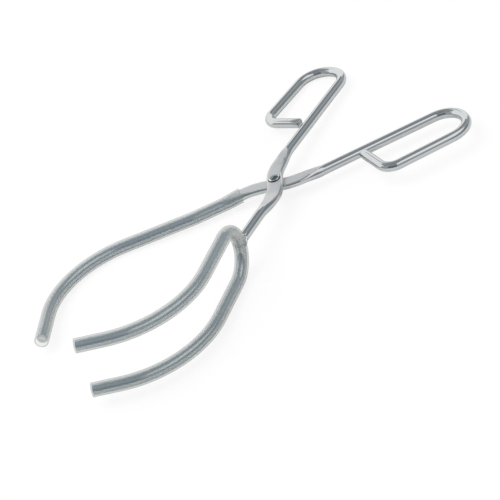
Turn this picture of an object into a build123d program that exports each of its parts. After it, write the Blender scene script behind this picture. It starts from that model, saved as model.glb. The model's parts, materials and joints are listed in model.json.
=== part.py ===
from build123d import *
import math
import os

# Heavy beaker tongs bent from round stainless rod: one arm carries a two-pronged fork, the other
# is drawn out into a single jaw, and clear tubing covers all three fingers.
#
# Every piece is drawn in the tongs' own frame. The origin is on the rivet's axis between the two
# pressed plates, and +Z runs along the rivet towards its domed head. At the end the tongs are laid
# on the bench in the attitude that they rest in. All lengths are in millimetres.

# Rod, and the flat that is pressed into each arm at the rivet
rod_diameter = 6.0
plate_width = 9.6
plate_thickness = 3.2
plate_edge_radius = 1.0
plate_play = 0.1

# The bend of each arm through the rivet: how steeply it crosses there, and the two arcs
crossing_angle = 32.7
finger_bend_radius = 46.6
handle_bend_radius = 28.8
handle_set_angle = 2.0

# Where the flat runs out into round rod, measured from the end of each arc
finger_taper_lead = 13.0
finger_taper_run_out = 9.5
handle_taper_lead = 4.0
handle_taper_run_out = 13.0
taper_steps = 6
side_angle = 10.0

# Handle loops
fork_arm_handle_length = 113.8
jaw_arm_handle_length = 117.3
loop_width = 28.7
loop_end_flat = 0.6
loop_length = 59.0
loop_flare_angle = 3.1
loop_foot_radius = 9.0
fork_arm_foot_slant = 1.5
jaw_arm_foot_slant = 10.5
foot_gap = 2.4
foot_lift = 1.2

# Angle between the two arms in the drawn pose
opening_angle = 46.7

# The single jaw, from the end of its bend to its tip
jaw_start_length = 25.0
jaw_set_angle = 5.9
jaw_set_radius = 40.0
jaw_run_length = 41.0
jaw_curve_radius = 53.9
jaw_curve_angle = 75.3
jaw_tip_length = 22.4

# The fork, welded across the end of its arm
fork_distance = 60.5
fork_span = 31.7
fork_apex_flat = 1.0
fork_set_angle = 7.2
fork_twist_angle = -6.0
prong_run_length = 45.5
prong_curve_radius = 60.2
prong_curve_angle = 68.3
prong_tip_length = 13.4

# Clear tubing
sleeve_diameter = 8.2
sleeve_fit = 0.09
sleeve_overhang = 2.5
cuff_length = 13.6
seam_gap = 0.3
notch_clearance = 0.3

# Rivet and weld
rivet_diameter = 5.0
rivet_running_fit = 0.05
rivet_head_diameter = 7.8
rivet_head_height = 1.6
rivet_tail_height = 1.1
weld_leg = 0.8
weld_reach = 1.8
weld_root_gap = 0.05

# How finely the resting attitude is worked out
line_steps = 400
settling_steps = 8

# What follows from the sizes above
rod_radius = rod_diameter / 2
rivet_radius = rivet_diameter / 2
sleeve_radius = sleeve_diameter / 2
sleeve_bore_radius = rod_radius + sleeve_fit
half_play = plate_play / 2
rod_height = half_play + rod_radius
plate_top = half_play + plate_thickness
loop_radius = (loop_width - loop_end_flat) / 2
fork_radius = (fork_span - fork_apex_flat) / 2


def arm_plane(heading, side):
    """The plane of one arm: X towards its fingers, Z away from the other arm's plate."""
    angle = math.radians(heading)
    return Plane(origin=(0, 0, 0), x_dir=(math.cos(angle), math.sin(angle), 0), z_dir=(0, 0, side))


def along_bend(heading, radius, turn, distance):
    """Place and heading on a line that leaves the rivet in an arc and then runs straight."""
    arc_length = radius * math.radians(turn)
    bent = min(distance, arc_length)
    first = math.radians(heading)
    last = first - bent / radius
    x = radius * (math.sin(first) - math.sin(last)) + (distance - bent) * math.cos(last)
    y = radius * (math.cos(last) - math.cos(first)) + (distance - bent) * math.sin(last)
    return x, y, last


def finger_point(distance):
    """Place and heading on the finger side of an arm, by distance from the end of its arc."""
    arc_length = finger_bend_radius * math.radians(crossing_angle)
    return along_bend(crossing_angle, finger_bend_radius, crossing_angle, arc_length + distance)


def handle_point(distance):
    """Place and heading on the handle side of an arm, by distance from the end of its arc."""
    turn = crossing_angle + handle_set_angle
    arc_length = handle_bend_radius * math.radians(turn)
    return along_bend(crossing_angle + 180, handle_bend_radius, turn, arc_length + distance)


def run_plane(arm, place, height):
    """A plane at a place on an arm: X along the rod, Z away from the other arm."""
    x, y, heading = place
    origin = arm.from_local_coords((x, y, height))
    ahead = arm.from_local_coords((x + math.cos(heading), y + math.sin(heading), height))
    return Plane(origin=origin, x_dir=ahead - origin, z_dir=arm.z_dir)


def cross_plane(arm, place):
    """A plane square to the rod at a place on an arm: Y away from the other arm, from its face."""
    run = run_plane(arm, place, 0)
    return Plane(origin=run.origin, x_dir=run.y_dir * -1, z_dir=run.x_dir * -1)


def blend(start, end, share):
    """The value that lies the given share of the way from start to end."""
    return start + (end - start) * share


def quarter_points(press, grow):
    """Five points round a quarter of the rod's section, pressed from 0, round, to 1, flat.

    The flat widens fast at first, as it does where a level cut goes through a round rod.
    """
    radius = rod_radius + grow
    edge = plate_edge_radius + grow
    half_width = plate_width / 2 + grow
    half_height = plate_thickness / 2 + grow
    diagonal = edge * math.sqrt(0.5)
    flat_points = [
        (half_width, 0),
        (half_width, half_height - edge),
        (half_width - edge + diagonal, half_height - edge + diagonal),
        (half_width - edge, half_height),
        (0, half_height),
    ]
    turns = [math.radians(turn) for turn in (0, side_angle, 45, 90 - side_angle, 90)]
    round_points = [(radius * math.cos(turn), radius * math.sin(turn)) for turn in turns]
    reaches = (press, press, press, math.sqrt(press), press)
    return [
        (blend(rounded[0], flat[0], reach), blend(rounded[1], flat[1], press))
        for rounded, flat, reach in zip(round_points, flat_points, reaches)
    ]


def pressed_section(plane, press, grow=0.0):
    """The rod's section where it is pressed. Its inner face stays level with the round rod's."""
    quarter = quarter_points(press, grow)
    middle = half_play + blend(rod_radius, plate_thickness / 2, press)
    ring = [(x, middle + y) for x, y in quarter]
    ring += [(-x, middle + y) for x, y in quarter[-2::-1]]
    ring += [(-x, middle - y) for x, y in quarter[1:]]
    ring += [(x, middle - y) for x, y in quarter[-2:0:-1]]
    with BuildSketch(plane) as section:
        with BuildLine():
            for number in range(1, len(ring), 2):
                start = ring[number]
                halfway = ring[(number + 1) % len(ring)]
                end = ring[(number + 2) % len(ring)]
                is_corner = number % 4 == 1
                if press == 1 and not is_corner:
                    Line(start, end)
                else:
                    ThreePointArc(start, halfway, end)
        make_face()
    return section.sketch


def ease(share):
    """A share from 0 to 1 that starts and stops gently."""
    return share * share * (3 - 2 * share)


def taper_sections(arm, point_at, lead, run_out, grow=0.0, first=0.0):
    """Sections where the flat of an arm runs out into round rod."""
    sections = []
    for step in range(taper_steps + 1):
        share = blend(first, 1, step / taper_steps)
        place = point_at(blend(-lead, run_out, share))
        sections.append(pressed_section(cross_plane(arm, place), 1 - ease(share), grow))
    return sections


def plate_line(arm):
    """The middle line of an arm's flat, from its handle taper to its finger taper."""
    finger_turn = crossing_angle - math.degrees(finger_taper_lead / finger_bend_radius)
    handle_turn = crossing_angle + handle_set_angle
    handle_turn -= math.degrees(handle_taper_lead / handle_bend_radius)
    slope = (math.cos(math.radians(crossing_angle)), math.sin(math.radians(crossing_angle)))
    with BuildLine(arm) as line:
        JernArc((0, 0), (-slope[0], -slope[1]), handle_bend_radius, -handle_turn)
        JernArc((0, 0), slope, finger_bend_radius, -finger_turn)
    return line.line


def handle_line(arm, place, length, foot_slant, lift):
    """The handle loop: out along the arm, round the end, back, and in towards the arm."""
    run = run_plane(arm, place, rod_height)
    far = length - rod_radius - math.hypot(place[0], place[1])
    foot_x = far - loop_length + rod_radius
    foot_y = loop_width + (far - foot_x) * math.tan(math.radians(loop_flare_angle))
    end_y = rod_radius + foot_gap
    end_x = foot_x - (foot_y - end_y) * math.tan(math.radians(foot_slant))
    with BuildLine(run) as line:
        FilletPolyline(
            (0, 0, 0),
            (far, 0, 0),
            (far, loop_width, 0),
            (foot_x, foot_y, lift / 2),
            (end_x, end_y, lift),
            radius=(loop_radius, loop_radius, loop_foot_radius),
        )
    return line.line


def bent_line(legs, turns, radii, height=0.0):
    """Corner points of a line of straight legs joined by turns of the given angles and radii."""
    tangents = [r * math.tan(math.radians(abs(turn)) / 2) for turn, r in zip(turns, radii)]
    before = [0.0] + tangents
    after = tangents + [0.0]
    points = [(0.0, 0.0, height)]
    heading = 0.0
    for number, leg in enumerate(legs):
        x, y, _ = points[-1]
        length = before[number] + leg + after[number]
        points.append((x + length * math.cos(heading), y + length * math.sin(heading), height))
        if number < len(turns):
            heading += math.radians(turns[number])
    return points


def jaw_points(overhang):
    """Corners of the single jaw's line, from the end of the taper to the tip."""
    legs = (jaw_start_length - finger_taper_run_out, jaw_run_length, jaw_tip_length + overhang)
    return bent_line(legs, (jaw_set_angle, -jaw_curve_angle), (jaw_set_radius, jaw_curve_radius))


def prong_points(side, overhang):
    """Corners of one prong's line, from above or below the fork's apex to the tip."""
    legs = (prong_run_length, prong_tip_length + overhang)
    return bent_line(legs, (-prong_curve_angle,), (prong_curve_radius,), side * fork_span / 2)


def jaw_line(plane, overhang=0.0):
    """The middle line of the round part of the single jaw."""
    with BuildLine(plane) as line:
        FilletPolyline(*jaw_points(overhang), radius=(jaw_set_radius, jaw_curve_radius))
    return line.line


def fork_line(plane):
    """The middle line of the fork's rod, from tip to tip round the apex."""
    upper = prong_points(1, 0)
    lower = prong_points(-1, 0)
    radii = (prong_curve_radius, fork_radius, fork_radius, prong_curve_radius)
    with BuildLine(plane) as line:
        FilletPolyline(*reversed(upper), *lower, radius=radii)
    return line.line


def prong_sleeve_line(plane, side):
    """The middle line of the tubing on one prong, from the seam at the apex to past the tip."""
    seam = (0, 0, side * seam_gap / 2)
    with BuildLine(plane) as line:
        FilletPolyline(
            seam, *prong_points(side, sleeve_overhang), radius=(fork_radius, prong_curve_radius)
        )
    return line.line


def start_plane(line):
    """The plane square to a line at its start."""
    return Plane(origin=line @ 0, z_dir=line % 0)


def bent_arm(arm, handle_length, foot_slant, lift):
    """An arm's handle loop and pressed flat, as one solid, up to the end of its finger taper."""
    loop_start = handle_point(handle_taper_run_out)
    loop = handle_line(arm, loop_start, handle_length, foot_slant, lift)
    flat = plate_line(arm)
    flat_start = cross_plane(arm, handle_point(-handle_taper_lead))
    with BuildPart() as body:
        with BuildSketch(start_plane(loop)):
            Circle(rod_radius)
        sweep(path=loop)
        loft(sections=taper_sections(arm, handle_point, handle_taper_lead, handle_taper_run_out))
        add(sweep(pressed_section(flat_start, 1), path=flat, mode=Mode.PRIVATE))
        loft(sections=taper_sections(arm, finger_point, finger_taper_lead, finger_taper_run_out))
    return body.part


def cap_points(level, height):
    """Three points on a rivet head's round outline: its crown, halfway out, and its rim."""
    rim = rivet_head_diameter / 2
    ball = (rim * rim + height * height) / (2 * abs(height))
    drop = ball - math.sqrt(ball * ball - rim * rim / 4)
    return (0, level + height), (rim / 2, level + height - math.copysign(drop, height)), (rim, level)


fork_arm_plane = arm_plane(180 + opening_angle / 2, 1)
jaw_arm_plane = arm_plane(180 - opening_angle / 2, -1)
finger_start = finger_point(finger_taper_run_out)
jaw_plane = run_plane(jaw_arm_plane, finger_start, rod_height)
stub_plane = run_plane(fork_arm_plane, finger_start, rod_height)
stub_length = fork_distance - rod_radius - weld_root_gap - finger_start[0]
apex = stub_plane.from_local_coords((fork_distance - finger_start[0], 0, 0))
apex_plane = Plane(origin=apex, x_dir=stub_plane.x_dir, z_dir=stub_plane.z_dir)
fork_plane = Plane(apex_plane.location * Location((0, 0, 0), (fork_twist_angle, 0, fork_set_angle)))

# Fork arm: handle loop, pressed flat with the rivet's hole, and a short stub
with BuildPart() as fork_arm:
    add(bent_arm(fork_arm_plane, fork_arm_handle_length, fork_arm_foot_slant, foot_lift))
    with BuildSketch(Plane(origin=stub_plane.origin, z_dir=stub_plane.x_dir)):
        Circle(rod_radius)
    extrude(amount=stub_length)
    with BuildSketch(Plane.XY):
        Circle(rivet_radius)
    extrude(amount=plate_top * 2, mode=Mode.SUBTRACT)
fork_arm.part.label = "fork_arm"

# Jaw arm: the same handle turned over, drawn out into the long curved jaw
jaw_path = jaw_line(jaw_plane)
with BuildPart() as jaw_arm:
    add(bent_arm(jaw_arm_plane, jaw_arm_handle_length, jaw_arm_foot_slant, -foot_lift))
    with BuildSketch(start_plane(jaw_path)):
        Circle(rod_radius)
    sweep(path=jaw_path)
    with BuildSketch(Plane.XY):
        Circle(rivet_radius + rivet_running_fit)
    extrude(amount=-plate_top * 2, mode=Mode.SUBTRACT)
jaw_arm.part.label = "jaw_arm"

# Fork: one rod bent into a U, whose two prongs curve like the jaw
fork_path = fork_line(fork_plane)
with BuildPart() as fork_prongs:
    with BuildSketch(start_plane(fork_path)):
        Circle(rod_radius)
    sweep(path=fork_path)
fork_prongs.part.label = "fork_prongs"

# Weld bead, filling the corner between the stub's end and the fork's rod
with BuildPart() as fork_weld:
    with BuildSketch(apex_plane):
        with BuildLine():
            Polyline(
                (-rod_radius - weld_reach, 0),
                (-rod_radius - weld_reach, rod_radius + weld_leg / 4),
                (-rod_radius, rod_radius + weld_leg),
                (-rod_radius / 2, rod_radius + weld_leg),
                (-rod_radius / 2, 0),
                close=True,
            )
        make_face()
    revolve(axis=Axis(apex, stub_plane.x_dir))
    add(fork_arm.part, mode=Mode.SUBTRACT)
    add(fork_prongs.part, mode=Mode.SUBTRACT)
fork_weld.part.label = "fork_weld"

# Rivet: domed head above, headed tail below, its shank tight in the fork arm's plate
tail_level = -plate_top - rivet_running_fit
with BuildPart() as pivot_rivet:
    with BuildSketch(Plane.XZ):
        with BuildLine():
            Line((0, tail_level - rivet_tail_height), (0, plate_top + rivet_head_height))
            ThreePointArc(*cap_points(plate_top, rivet_head_height))
            Line((rivet_head_diameter / 2, plate_top), (rivet_radius, plate_top))
            Line((rivet_radius, plate_top), (rivet_radius, tail_level))
            Line((rivet_radius, tail_level), (rivet_head_diameter / 2, tail_level))
            ThreePointArc(*cap_points(tail_level, -rivet_tail_height))
        make_face()
    revolve(axis=Axis.Z)
pivot_rivet.part.label = "pivot_rivet"

def tube(line):
    """Tubing of the sleeves' size along a line."""
    with BuildPart() as body:
        with BuildSketch(start_plane(line)):
            Circle(sleeve_radius)
            Circle(sleeve_bore_radius, mode=Mode.SUBTRACT)
        sweep(path=line)
    return body.part


# Jaw tubing, with a cuff stretched over the last of the pressed flat
taper_length = finger_taper_lead + finger_taper_run_out
cuff_first = 1 - cuff_length / taper_length
with BuildPart() as jaw_sleeve:
    add(tube(jaw_line(jaw_plane, sleeve_overhang)))
    loft(
        sections=taper_sections(
            jaw_arm_plane, finger_point, finger_taper_lead, finger_taper_run_out,
            sleeve_radius - rod_radius, cuff_first,
        )
    )
    loft(
        sections=taper_sections(
            jaw_arm_plane, finger_point, finger_taper_lead, finger_taper_run_out, sleeve_fit
        ),
        mode=Mode.SUBTRACT,
    )
jaw_sleeve.part.label = "jaw_sleeve"

# Prong tubing, one length on each prong, meeting at the apex around the stub's end
with BuildPart() as upper_prong_sleeve:
    add(tube(prong_sleeve_line(fork_plane, 1)))
    with BuildSketch(Plane(origin=apex, z_dir=stub_plane.x_dir * -1)):
        Circle(rod_radius + weld_leg + notch_clearance)
    extrude(amount=sleeve_diameter, mode=Mode.SUBTRACT)
upper_prong_sleeve.part.label = "upper_prong_sleeve"

with BuildPart() as lower_prong_sleeve:
    add(tube(prong_sleeve_line(fork_plane, -1)))
    with BuildSketch(Plane(origin=apex, z_dir=stub_plane.x_dir * -1)):
        Circle(rod_radius + weld_leg + notch_clearance)
    extrude(amount=sleeve_diameter, mode=Mode.SUBTRACT)
lower_prong_sleeve.part.label = "lower_prong_sleeve"


def lowest_point(line, up):
    """The point of a line that lies lowest when up points upwards."""
    points = [line @ (step / line_steps) for step in range(line_steps + 1)]
    return min(points, key=lambda point: point.dot(up))


def resting_up():
    """The upward direction at rest: on the fork arm's loop, the jaw and the lower prong."""
    loop_start = handle_point(handle_taper_run_out)
    loop = handle_line(
        fork_arm_plane, loop_start, fork_arm_handle_length, fork_arm_foot_slant, foot_lift
    )
    rods = (
        (loop, rod_radius),
        (jaw_path, sleeve_radius),
        (prong_sleeve_line(fork_plane, -1), sleeve_radius),
    )
    up = Vector(0, 0, 1)
    for _ in range(settling_steps):
        touching = [lowest_point(line, up) - up * radius for line, radius in rods]
        up = (touching[1] - touching[0]).cross(touching[2] - touching[0]).normalized()
        up = up if up.Z > 0 else up * -1
    return up


# The bench: the tongs lie on it at rest, with +X along their length towards the handles, the
# origin under the middle of the whole, and the bench's top at Z = 0
pieces = (
    fork_arm.part,
    jaw_arm.part,
    fork_prongs.part,
    fork_weld.part,
    pivot_rivet.part,
    jaw_sleeve.part,
    upper_prong_sleeve.part,
    lower_prong_sleeve.part,
)
up = resting_up()
along = Vector(1, 0, 0) - up * up.X
bench = Plane(origin=(0, 0, 0), x_dir=along, z_dir=up)
turned = Compound(children=[piece.moved(bench.location.inverse()) for piece in pieces])
box = turned.bounding_box(optimal=True)
middle = box.center()
shift = Location((-middle.X, -middle.Y, -box.min.Z))
laid = shift * bench.location.inverse()

os.makedirs("parts", exist_ok=True)
export_step(fork_arm.part.moved(laid), "parts/fork_arm.step")
export_step(jaw_arm.part.moved(laid), "parts/jaw_arm.step")
export_step(fork_prongs.part.moved(laid), "parts/fork_prongs.step")
export_step(fork_weld.part.moved(laid), "parts/fork_weld.step")
export_step(pivot_rivet.part.moved(laid), "parts/pivot_rivet.step")
export_step(jaw_sleeve.part.moved(laid), "parts/jaw_sleeve.step")
export_step(upper_prong_sleeve.part.moved(laid), "parts/upper_prong_sleeve.step")
export_step(lower_prong_sleeve.part.moved(laid), "parts/lower_prong_sleeve.step")

# Where the rivet's axis comes to lie, for the hinge
hinge = laid * Location((0, 0, 0))
hinge_axis = (laid * Location((0, 0, 1))).position - hinge.position
print("hinge at", [round(value, 4) for value in hinge.position])
print("hinge axis", [round(value, 6) for value in hinge_axis])
print("overall size", [round(value, 2) for value in box.size])
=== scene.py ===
"""Looks for heavy beaker tongs: bent stainless rod, a riveted pivot and clear tubing.

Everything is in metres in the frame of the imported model. The tongs lie on a bench whose top is at
Z = 0, with +X along them from the jaws to the handles.
"""

import json
import logging
import math
from collections.abc import Sequence
from dataclasses import dataclass
from enum import Enum
from typing import Any

import bmesh
import bpy
from bpy.types import Material, Mesh, Node, NodeSocket, NodeTree, Object
from mathutils import Matrix, Vector


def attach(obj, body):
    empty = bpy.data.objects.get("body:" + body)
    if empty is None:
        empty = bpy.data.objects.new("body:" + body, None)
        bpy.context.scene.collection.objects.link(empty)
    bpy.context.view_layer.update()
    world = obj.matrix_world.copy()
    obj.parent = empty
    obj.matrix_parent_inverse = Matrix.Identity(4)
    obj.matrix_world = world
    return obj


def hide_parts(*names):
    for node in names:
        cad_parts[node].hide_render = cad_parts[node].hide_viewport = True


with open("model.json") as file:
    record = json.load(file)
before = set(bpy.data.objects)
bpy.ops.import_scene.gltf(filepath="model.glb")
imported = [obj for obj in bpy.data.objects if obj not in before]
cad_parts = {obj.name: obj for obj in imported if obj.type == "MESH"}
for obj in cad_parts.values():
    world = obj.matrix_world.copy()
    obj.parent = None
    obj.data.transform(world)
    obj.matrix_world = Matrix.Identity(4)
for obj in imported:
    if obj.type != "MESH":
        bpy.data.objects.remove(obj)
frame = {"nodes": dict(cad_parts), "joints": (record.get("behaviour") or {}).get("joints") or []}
log = logging.getLogger("beaker_tongs")

MM = 0.001
WHITE = (1.0, 1.0, 1.0, 1.0)
STRAIGHT_AREA = 1e-6

Surface = tuple[NodeSocket, Node | float, Node]


class Slot(Enum):
    """The names of the record's material slots for steel and tubing."""

    STEEL = "bright_steel"
    TUBING = "clear_tubing"


class Half(Enum):
    """The two halves of the tongs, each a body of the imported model."""

    FORK = "fork_arm_body"
    JAW = "jaw_arm_body"


def linear(hex_colour: str) -> tuple[float, float, float, float]:
    """Turns an sRGB hex colour into the linear colour that a shader socket takes.

    Args:
        hex_colour: the colour as "#rrggbb".

    Returns:
        Linear red, green and blue, and an alpha of 1.
    """
    digits = hex_colour.lstrip("#")
    channels = [int(digits[start : start + 2], 16) / 255 for start in (0, 2, 4)]
    turned = [c / 12.92 if c <= 0.04045 else ((c + 0.055) / 1.055) ** 2.4 for c in channels]
    return turned[0], turned[1], turned[2], 1.0


def mix(start: float, end: float, share: float) -> float:
    """The value that lies the given share of the way from start to end."""
    return start + (end - start) * share


def add_node(
    tree: NodeTree, kind: str, feeds: dict[Any, Any] | None = None, **settings: Any
) -> Node:
    """Adds one node with its settings and links.

    Args:
        tree: the material's or world's nodes.
        kind: Blender's name for the type of node.
        feeds: for each input, a constant, an output socket, or a node whose first output counts.
        settings: the node's own properties, such as its operation.

    Returns:
        The node.
    """
    node = tree.nodes.new(kind)
    for name, value in settings.items():
        setattr(node, name, value)
    for socket, value in (feeds or {}).items():
        source = value.outputs[0] if isinstance(value, Node) else value
        if isinstance(source, NodeSocket):
            tree.links.new(source, node.inputs[socket])
        else:
            node.inputs[socket].default_value = source
    return node


def blank_material(name: str) -> tuple[Material, NodeTree]:
    """Makes a material without nodes.

    Args:
        name: the material's name.

    Returns:
        The material and its empty node tree.
    """
    material = bpy.data.materials.new(name)
    material.use_nodes = True
    material.node_tree.nodes.clear()
    return material, material.node_tree


def paint(piece: Object, material: Material) -> None:
    """Gives a piece one material all over.

    Args:
        piece: the piece or CAD node.
        material: its finish.
    """
    piece.data.materials.clear()
    piece.data.materials.append(material)


def add_object(name: str, data: Any) -> Object:
    """Adds an object to the scene.

    Args:
        name: the object's name.
        data: its mesh, lamp or camera.

    Returns:
        The object.
    """
    thing = bpy.data.objects.new(name, data)
    bpy.context.scene.collection.objects.link(thing)
    return thing


def per_metre(length_mm: float) -> float:
    """The scale of a pattern whose features have a length in millimetres."""
    return 1 / (length_mm * MM)


def rivet_axis() -> tuple[Vector, Vector]:
    """The rivet's place and axis at rest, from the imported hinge.

    Returns:
        A point on the axis and the direction towards the domed head.
    """
    hinge = frame["joints"][0]
    return Vector(hinge["pos_m"]), Vector(hinge["axis"]).normalized()


def tongs_frame() -> Matrix:
    """The tongs' own frame on the bench, in millimetres.

    Its origin is on the rivet's axis between the two flats, and Z runs towards the domed head.

    Returns:
        The matrix that takes millimetres in that frame to metres on the bench.
    """
    centre, axis = rivet_axis()
    across = Vector((0, 1, 0)).cross(axis).normalized()
    turned = Matrix((across, axis.cross(across), axis)).transposed().to_4x4()
    return Matrix.Translation(centre) @ turned @ Matrix.Scale(MM, 4)


def rounded_line(
    corners: Sequence[Vector],
    radii: Sequence[float],
    arc_step: float = 2.0,
    arc_turn: float = 5.0,
    fewest_steps: int = 3,
    leg_step: float = 6.0,
) -> list[Vector]:
    """Points along a line of straight legs whose inner corners are rounded.

    Args:
        corners: the line's start, its corners and its end.
        radii: the bend's radius at each inner corner.
        arc_step: the longest gap between points in a bend.
        arc_turn: the largest turn between them, in degrees.
        fewest_steps: the fewest steps in a bend.
        leg_step: the longest gap between points on a straight leg.

    Returns:
        The points, from the start to the end.
    """
    coarse = [corners[0]]
    for before, corner, after, radius in zip(corners, corners[1:], corners[2:], radii):
        back = (before - corner).normalized()
        ahead = (after - corner).normalized()
        turn = math.pi - back.angle(ahead)
        centre = corner + (back + ahead).normalized() * (radius / math.cos(turn / 2))
        out = corner + back * (radius * math.tan(turn / 2)) - centre
        by_length, by_turn = turn * radius / arc_step, math.degrees(turn) / arc_turn
        steps = max(fewest_steps, math.ceil(by_length), math.ceil(by_turn))
        for number in range(steps + 1):
            angle = turn * number / steps
            coarse.append(centre + out * math.cos(angle) - back * (radius * math.sin(angle)))
    coarse.append(corners[-1])
    line = [coarse[0]]
    for start, end in zip(coarse, coarse[1:]):
        steps = max(1, math.ceil((end - start).length / leg_step))
        line += [start.lerp(end, number / steps) for number in range(1, steps + 1)]
    return line


def arc_through(start: complex, halfway: complex, end: complex, steps: int) -> list[complex]:
    """Points on the arc through three points, without its end.

    Args:
        start: the arc's start.
        halfway: a point on its way.
        end: its end.
        steps: how many pieces it is cut into.

    Returns:
        The points, from the start on.
    """
    near, far = halfway - start, end - start
    area = near.real * far.imag - near.imag * far.real
    if abs(area) < STRAIGHT_AREA:
        return [start + far * number / steps for number in range(steps)]
    centre = start + 1j * (near * abs(far) ** 2 - far * abs(near) ** 2) / (2 * area)
    first = start - centre
    turn = (end - centre) / first
    angle = math.atan2(turn.imag, turn.real)
    shares = (angle * number / steps for number in range(steps))
    return [centre + first * complex(math.cos(a), math.sin(a)) for a in shares]


@dataclass(frozen=True)
class Stock:
    """The round rod and the flat that it is pressed to at the rivet, in millimetres."""

    radius: float = 3.0
    flat_width: float = 9.6
    flat_thickness: float = 3.2
    flat_edge_radius: float = 1.0
    side_angle: float = 10.0
    corner_steps: int = 8
    face_steps: int = 4
    side_steps: int = 3
    grain_gain: float = 4.0

    def quarter(self, press: float, grow: float) -> list[complex]:
        """Five points round a quarter of the section.

        Args:
            press: how far the rod is pressed, from 0, round, to 1, flat.
            grow: how far outside the rod's own surface the section lies.

        Returns:
            The points, from the side to the top.
        """
        radius, edge = self.radius + grow, self.flat_edge_radius + grow
        half_width, half_height = self.flat_width / 2 + grow, self.flat_thickness / 2 + grow
        corner = edge - edge * math.sqrt(0.5)
        flat = (
            complex(half_width, 0),
            complex(half_width, half_height - edge),
            complex(half_width - corner, half_height - corner),
            complex(half_width - edge, half_height),
            complex(0, half_height),
        )
        turns = (0, self.side_angle, 45, 90 - self.side_angle, 90)
        reaches = (press, press, press, math.sqrt(press), press)
        points = []
        for turn, level, reach in zip(turns, flat, reaches):
            round_x = radius * math.cos(math.radians(turn))
            round_y = radius * math.sin(math.radians(turn))
            points.append(
                complex(mix(round_x, level.real, reach), mix(round_y, level.imag, press))
            )
        return points

    def section(self, press: float, grow: float) -> list[tuple[complex, float]]:
        """The whole section, about the round rod's middle. Its inner face stays level.

        Args:
            press: how far the rod is pressed, from 0, round, to 1, flat.
            grow: how far outside the rod's own surface the section lies.

        Returns:
            Each point, with how much it belongs to a pressed face.
        """
        quarter = self.quarter(press, grow)
        ring = list(quarter)
        ring += [-p.conjugate() for p in quarter[-2::-1]]
        ring += [-p for p in quarter[1:]]
        ring += [p.conjugate() for p in quarter[-2:0:-1]]
        drop = complex(0, press * (self.radius - self.flat_thickness / 2))
        corner, face, side = self.corner_steps, self.face_steps, self.side_steps
        grain = min(1.0, press * self.grain_gain)
        points = []
        after_face = False
        # The arcs start at the ring's odd points, and the last one is a side.
        for number, steps in enumerate((corner, face, corner, side) * 2):
            start = 2 * number + 1
            on_face = number % 4 == 1
            run = [ring[(start + place) % len(ring)] for place in range(3)]
            for place, point in enumerate(arc_through(*run, steps)):
                pressed = grain if on_face or (after_face and not place) else 0.0
                points.append((point - drop, pressed))
            after_face = on_face
        return points


@dataclass(frozen=True)
class Spot:
    """One section of a rod: where it is, which way it faces and how far it is pressed."""

    middle: Vector
    ahead: Vector
    top: Vector
    press: float
    run: float

    def moved(self, distance: float) -> "Spot":
        """The same section a little further along.

        Args:
            distance: how far, in millimetres.

        Returns:
            The moved section.
        """
        middle = self.middle + self.ahead * distance
        return Spot(middle, self.ahead, self.top, self.press, self.run + distance)


# A ring of points: each one's place, share of a pressed face, and run, breadth and height.
Loop = list[tuple[Vector, float, tuple[float, float, float]]]


@dataclass(frozen=True)
class Strand:
    """A length of rod or tubing, as a row of sections in the tongs' own frame."""

    stock: Stock
    spots: tuple[Spot, ...]

    @classmethod
    def along(
        cls,
        stock: Stock,
        points: Sequence[Vector],
        top: Vector,
        presses: Sequence[float] | None = None,
        first: int = 0,
    ) -> "Strand":
        """Sets sections along a line and carries their top direction along without a twist.

        Args:
            stock: the rod that the strand is made of.
            points: the middle line of the round rod.
            top: the top direction at the first section that is set.
            presses: how far the rod is pressed at each point; round everywhere if left out.
            first: the number of that first section.

        Returns:
            The strand.
        """
        last = len(points) - 1
        steps = [(after - before).normalized() for before, after in zip(points, points[1:])]
        aheads = [
            (steps[max(n - 1, 0)] + steps[min(n, last - 1)]).normalized() for n in range(last + 1)
        ]
        tops = [top] * (last + 1)
        for number in list(range(first, last + 1)) + list(range(first - 1, -1, -1)):
            near = number if number == first else number + (1 if number < first else -1)
            ahead = aheads[number]
            tops[number] = (tops[near] - ahead * tops[near].dot(ahead)).normalized()
        runs = [0.0]
        for before, after in zip(points, points[1:]):
            runs.append(runs[-1] + (after - before).length)
        rows = zip(points, aheads, tops, presses or [0.0] * (last + 1), runs)
        return cls(stock, tuple(Spot(*row) for row in rows))

    def loop(self, spot: Spot, grow: float) -> Loop:
        """One ring of points round a section.

        Args:
            spot: the section.
            grow: how far outside the rod's own surface the ring lies.

        Returns:
            Each point's place, its share of a pressed face, and its run, breadth and height.
        """
        side = spot.ahead.cross(spot.top)
        ring = []
        for point, pressed in self.stock.section(spot.press, grow):
            place = spot.middle + side * point.real + spot.top * point.imag
            ring.append((place, pressed, (spot.run, point.real, point.imag)))
        return ring

    def loops(self, grow: float, edge: float) -> list[Loop]:
        """Rings along the whole strand, drawn in or out round its two ends' edges.

        Args:
            grow: how far outside the rod's own surface the rings lie.
            edge: the radius of the ends' edges; below 0 for a bore, which opens at its ends.

        Returns:
            The rings.
        """
        rounding = [math.radians(turn) for turn in (0, 30, 60, 90)]
        size = abs(edge)
        turned = [(size * (1 - math.cos(t)), edge * (1 - math.sin(t))) for t in rounding]
        start, end = self.spots[0], self.spots[-1]
        rings = [self.loop(start.moved(inset), grow - drawn) for inset, drawn in turned]
        for spot in self.spots[1:-1]:
            if size < spot.run - start.run and size < end.run - spot.run:
                rings.append(self.loop(spot, grow))
        rings += [self.loop(end.moved(-inset), grow - drawn) for inset, drawn in turned[::-1]]
        return rings


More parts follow.
